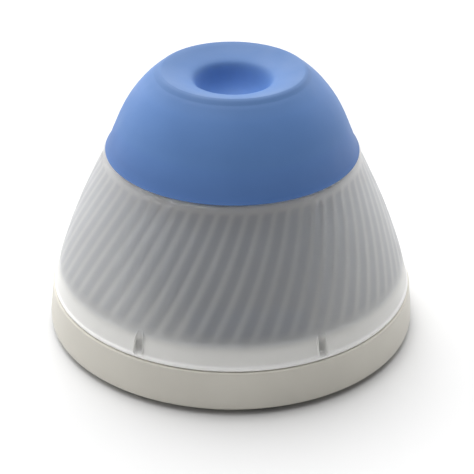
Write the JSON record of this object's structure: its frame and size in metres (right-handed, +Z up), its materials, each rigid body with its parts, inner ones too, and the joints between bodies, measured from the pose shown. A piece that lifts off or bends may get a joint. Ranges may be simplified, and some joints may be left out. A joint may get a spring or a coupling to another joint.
{
  "type": "vortex mixer",
  "caption": "Compact touch-operated vortex mixer with a soft domed orbiting head, tube cup, translucent ribbed cover and weighted round base.",
  "frame": {"origin": "on the bench plane, under the middle of the round base (centre of the bounding box's bottom face)", "axes": "+Z up along the motor axis; -Y is the front, towards which the eccentric pin points at rest; +X to the right seen from the front; the power inlet is at +Y"},
  "size_m": [0.116, 0.116, 0.0854],
  "materials": {
    "base_grey": "satin",
    "frosted_clear": "satin",
    "blue_rubber": "matte",
    "black_rubber": "matte",
    "zinc_steel": "satin",
    "dark_housing": "matte",
    "motor_steel": "satin",
    "brass": "satin",
    "board_blue": "gloss",
    "black_plastic": "satin",
    "switch_red": "satin",
    "carrier_grey": "matte"
  },
  "bodies": {
    "base": {"base_housing": "base_grey", "shell_cover": "frosted_clear", "ballast_ring": "zinc_steel", "circuit_board": "board_blue", "board_capacitor": "black_plastic", "board_chip": "black_plastic", "dc_jack": "black_plastic", "microswitch_body": "black_plastic", "foot_front": "black_rubber", "foot_right": "black_rubber", "foot_rear": "black_rubber", "foot_left": "black_rubber", "ballast_screw_1": "zinc_steel", "ballast_screw_2": "zinc_steel", "ballast_screw_3": "zinc_steel", "ballast_screw_4": "zinc_steel", "post_screw_1": "zinc_steel", "guide_post_1": "zinc_steel", "return_spring_1": "zinc_steel", "post_screw_2": "zinc_steel", "guide_post_2": "zinc_steel", "return_spring_2": "zinc_steel", "post_screw_3": "zinc_steel", "guide_post_3": "zinc_steel", "return_spring_3": "zinc_steel"},
    "carriage": {"carriage_plate": "zinc_steel", "motor_housing": "dark_housing", "motor_can": "motor_steel", "motor_end_cap": "black_plastic"},
    "plunger": {"switch_plunger": "switch_red"},
    "rotor": {"motor_armature": "brass", "motor_shaft": "zinc_steel", "counterweight": "brass", "eccentric_pin": "zinc_steel", "bearing_inner_race": "zinc_steel", "retaining_clip": "zinc_steel"},
    "head": {"bearing_ball_cage": "brass", "bearing_outer_race": "zinc_steel", "head_carrier": "carrier_grey", "rubber_cap": "blue_rubber"}
  },
  "joints": [
    {"name": "head_press", "type": "slide", "parent": "base", "child": "carriage", "axis": [0, 0, -1], "range_m": [0, 0.0005], "stiffness_N_per_m": 5000, "springref_m": -0.002, "deforming": ["return_spring_1", "return_spring_2", "return_spring_3"]},
    {"name": "switch_press", "type": "slide", "parent": "base", "child": "plunger", "axis": [0, 0, -1], "range_m": [0, 0.0005], "stiffness_N_per_m": 8, "springref_m": -0.0005},
    {"name": "motor_spin", "type": "hinge", "parent": "carriage", "child": "rotor", "pos_m": [0, 0, 0.05], "axis": [0, 0, 1], "continuous": true},
    {"name": "head_orbit", "type": "hinge", "parent": "rotor", "child": "head", "pos_m": [0, -0.002, 0.06], "axis": [0, 0, 1], "continuous": true}
  ],
  "couplings": [
    {"joint": "switch_press", "follows": "head_press", "ratio": 1},
    {"joint": "head_orbit", "follows": "motor_spin", "ratio": -1}
  ]
}
